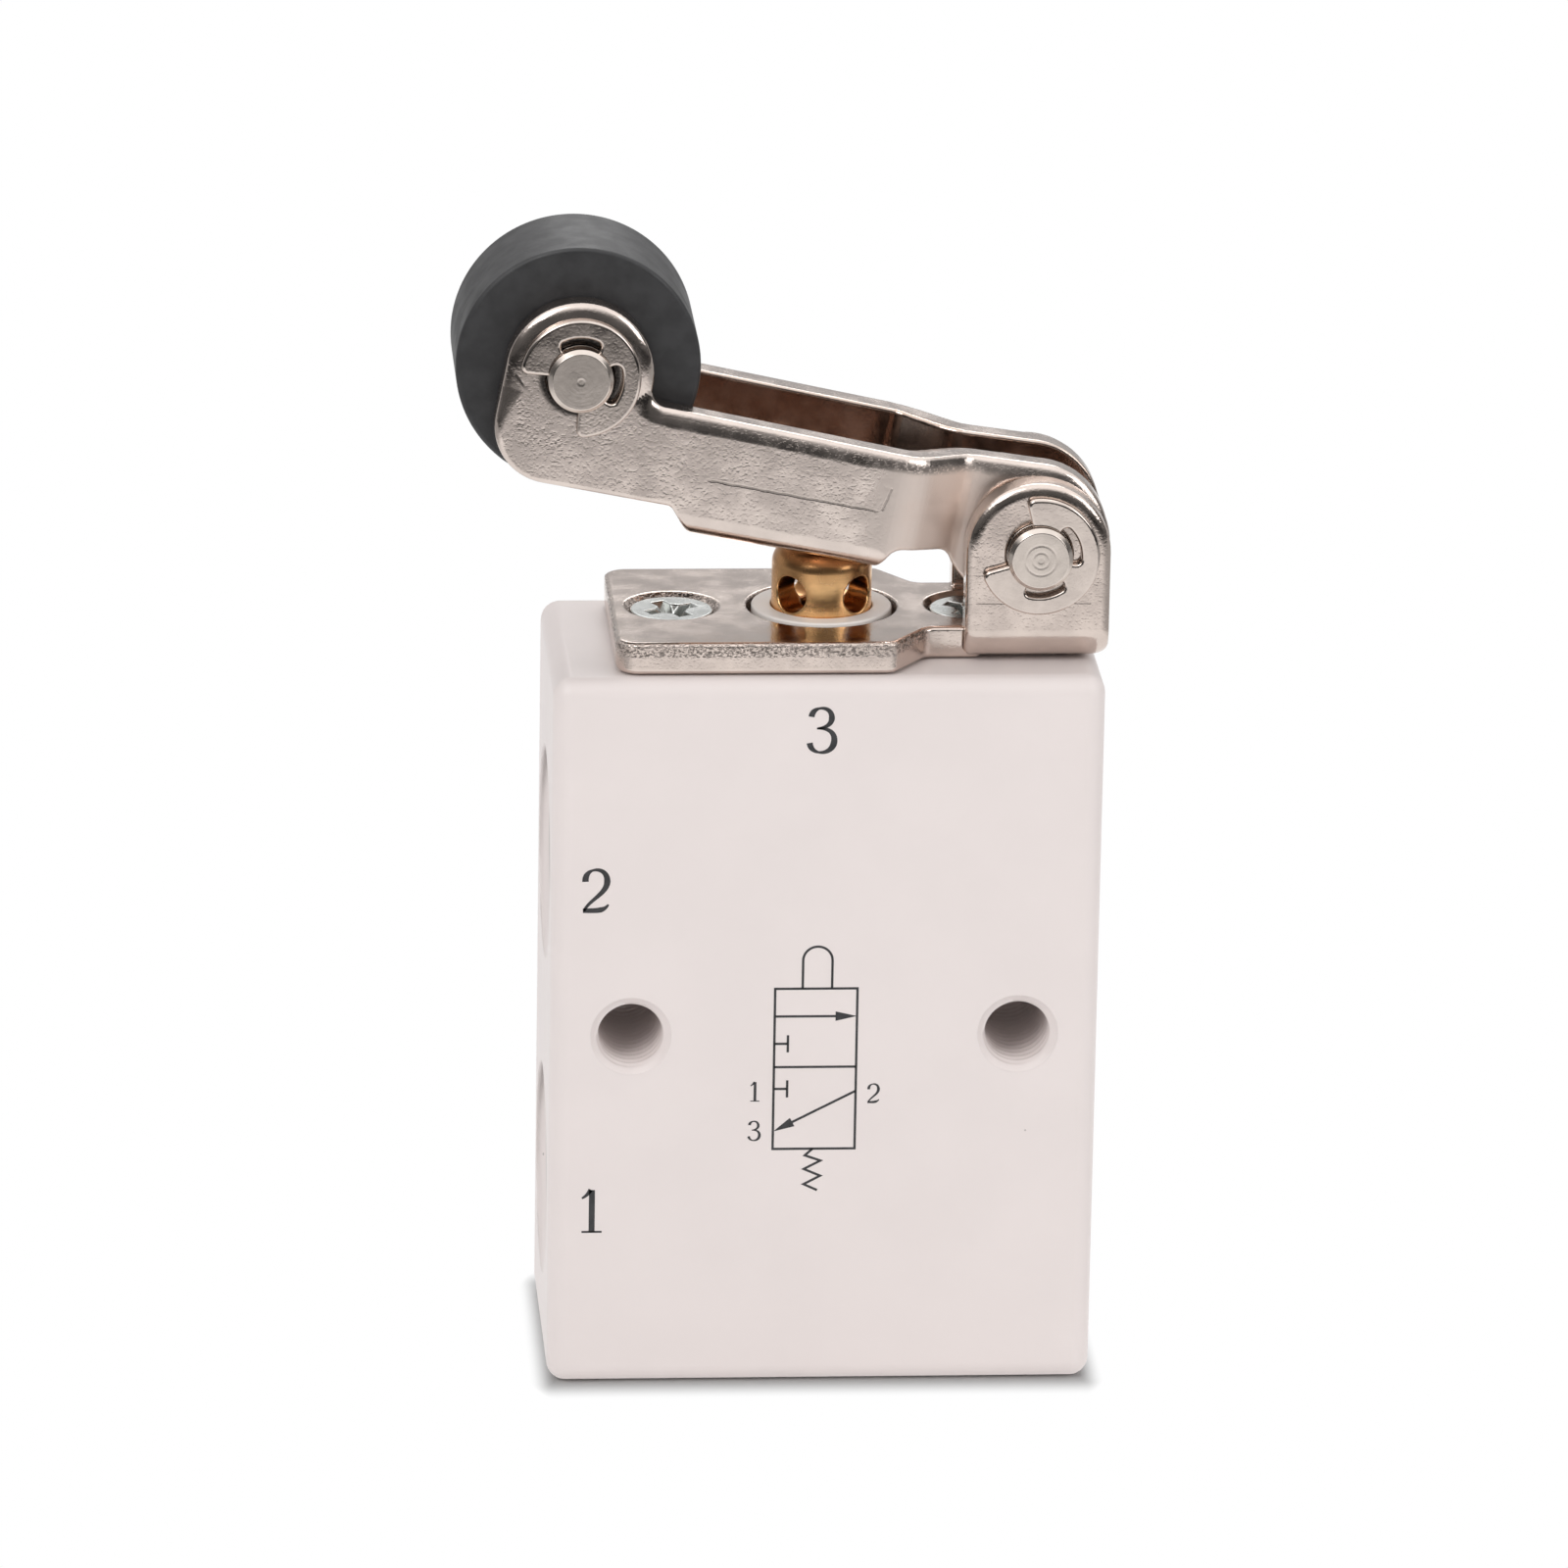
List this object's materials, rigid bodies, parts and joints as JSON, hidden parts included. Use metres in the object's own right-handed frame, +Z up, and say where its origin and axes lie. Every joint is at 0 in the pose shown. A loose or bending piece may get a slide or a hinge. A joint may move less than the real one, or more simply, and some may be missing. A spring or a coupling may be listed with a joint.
{
  "type": "roller lever air valve",
  "caption": "Block-shaped air valve worked by a roller on a tilting lever: pressing it slides a hollow plunger that shuts the exhaust and opens the supply port to the outlet port.",
  "frame": {"origin": "centre of the body's bottom face, on the plunger's axis", "axes": "+Z up along the plunger, -X out of the two ports, -Y out of the marked front face"},
  "size_m": [0.0405, 0.018, 0.0721],
  "materials": {
    "body_paint": "satin off-white paint on aluminium",
    "plated_sheet": "bright nickel plate on tumbled steel sheet",
    "zinc_screw": "bright zinc plate",
    "white_bush": "smooth white plastic",
    "black_rubber": "matt",
    "brass": "turned",
    "spring_steel": "drawn wire",
    "plug_aluminium": "turned",
    "black_circlip": "phosphated and oiled",
    "roller_plastic": "black moulded plastic",
    "pin_steel": "turned and nickel plated",
    "plated_ring": "nickel plate"
  },
  "bodies": {
    "valve": {"valve_body": "body_paint", "lever_bracket": "plated_sheet", "bracket_screws": "zinc_screw", "guide_bush": "white_bush", "bush_o_ring": "black_rubber", "bottom_plug": "plug_aluminium", "plug_o_ring": "black_rubber", "plug_circlip": "black_circlip", "pivot_pin": "pin_steel", "pivot_e_ring": "plated_ring", "plunger_spring": "spring_steel", "poppet_spring": "spring_steel"},
    "lever_arm": {"lever": "plated_sheet", "roller_pin": "pin_steel", "roller_e_ring": "plated_ring"},
    "roller_wheel": {"roller": "roller_plastic"},
    "plunger_rod": {"plunger": "brass", "plunger_o_ring": "black_rubber"},
    "poppet_disc": {"poppet": "brass", "poppet_seal": "black_rubber"}
  },
  "joints": [
    {"name": "lever_pivot", "type": "hinge", "parent": "valve", "child": "lever_arm", "pos_m": [0.0129, 0, 0.0531], "axis": [0, -1, 0], "range_deg": [0, 10], "stiffness_Nm_per_rad": 0.12, "springref_deg": -5.73},
    {"name": "roller_spin", "type": "hinge", "parent": "lever_arm", "child": "roller_wheel", "pos_m": [-0.01543, 0, 0.06462], "axis": [0, -1, 0], "continuous": true},
    {"name": "plunger_slide", "type": "slide", "parent": "valve", "child": "plunger_rod", "axis": [0, 0, -1], "range_m": [0, 0.0019], "deforming": ["plunger_spring"]},
    {"name": "poppet_slide", "type": "slide", "parent": "valve", "child": "poppet_disc", "axis": [0, 0, -1], "range_m": [0, 0.00132], "deforming": ["poppet_spring"]}
  ],
  "couplings": [
    {"joint": "plunger_slide", "follows": "lever_pivot", "m_per_rad": 0.0108},
    {"joint": "poppet_slide", "follows": "lever_pivot", "m_per_rad": 0.00753}
  ]
}
